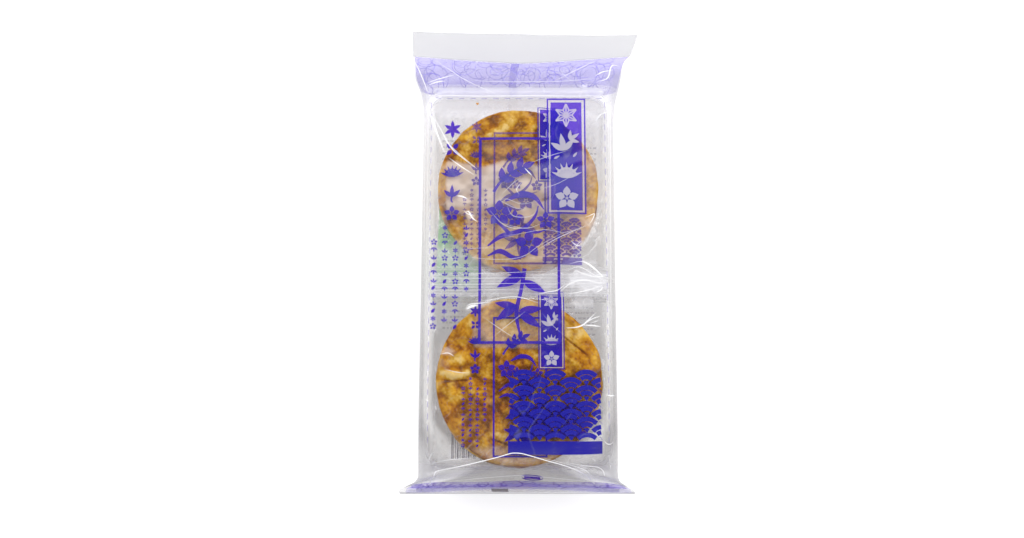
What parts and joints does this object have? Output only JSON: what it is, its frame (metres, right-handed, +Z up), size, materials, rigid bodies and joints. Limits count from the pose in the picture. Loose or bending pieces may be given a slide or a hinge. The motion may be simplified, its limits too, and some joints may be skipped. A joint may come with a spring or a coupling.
{
  "type": "sealed clear pack of rice crackers",
  "caption": "Clear sealed pillow pack of round soy-glazed rice crackers in inner wraps, lying on its back, with a flat head seal and a turned-up foot seal.",
  "frame": {"origin": "bottom centre of the pack's bounding box, on the surface it lies on", "axes": "+X across the pack, +Y along it towards the head seal, +Z up through the printed front"},
  "size_m": [0.1244, 0.2458, 0.044],
  "materials": {
    "film": "gloss",
    "cracker": "satin",
    "print": "gloss"
  },
  "bodies": {
    "root": {"sealed_pack": "film"}
  },
  "joints": []
}
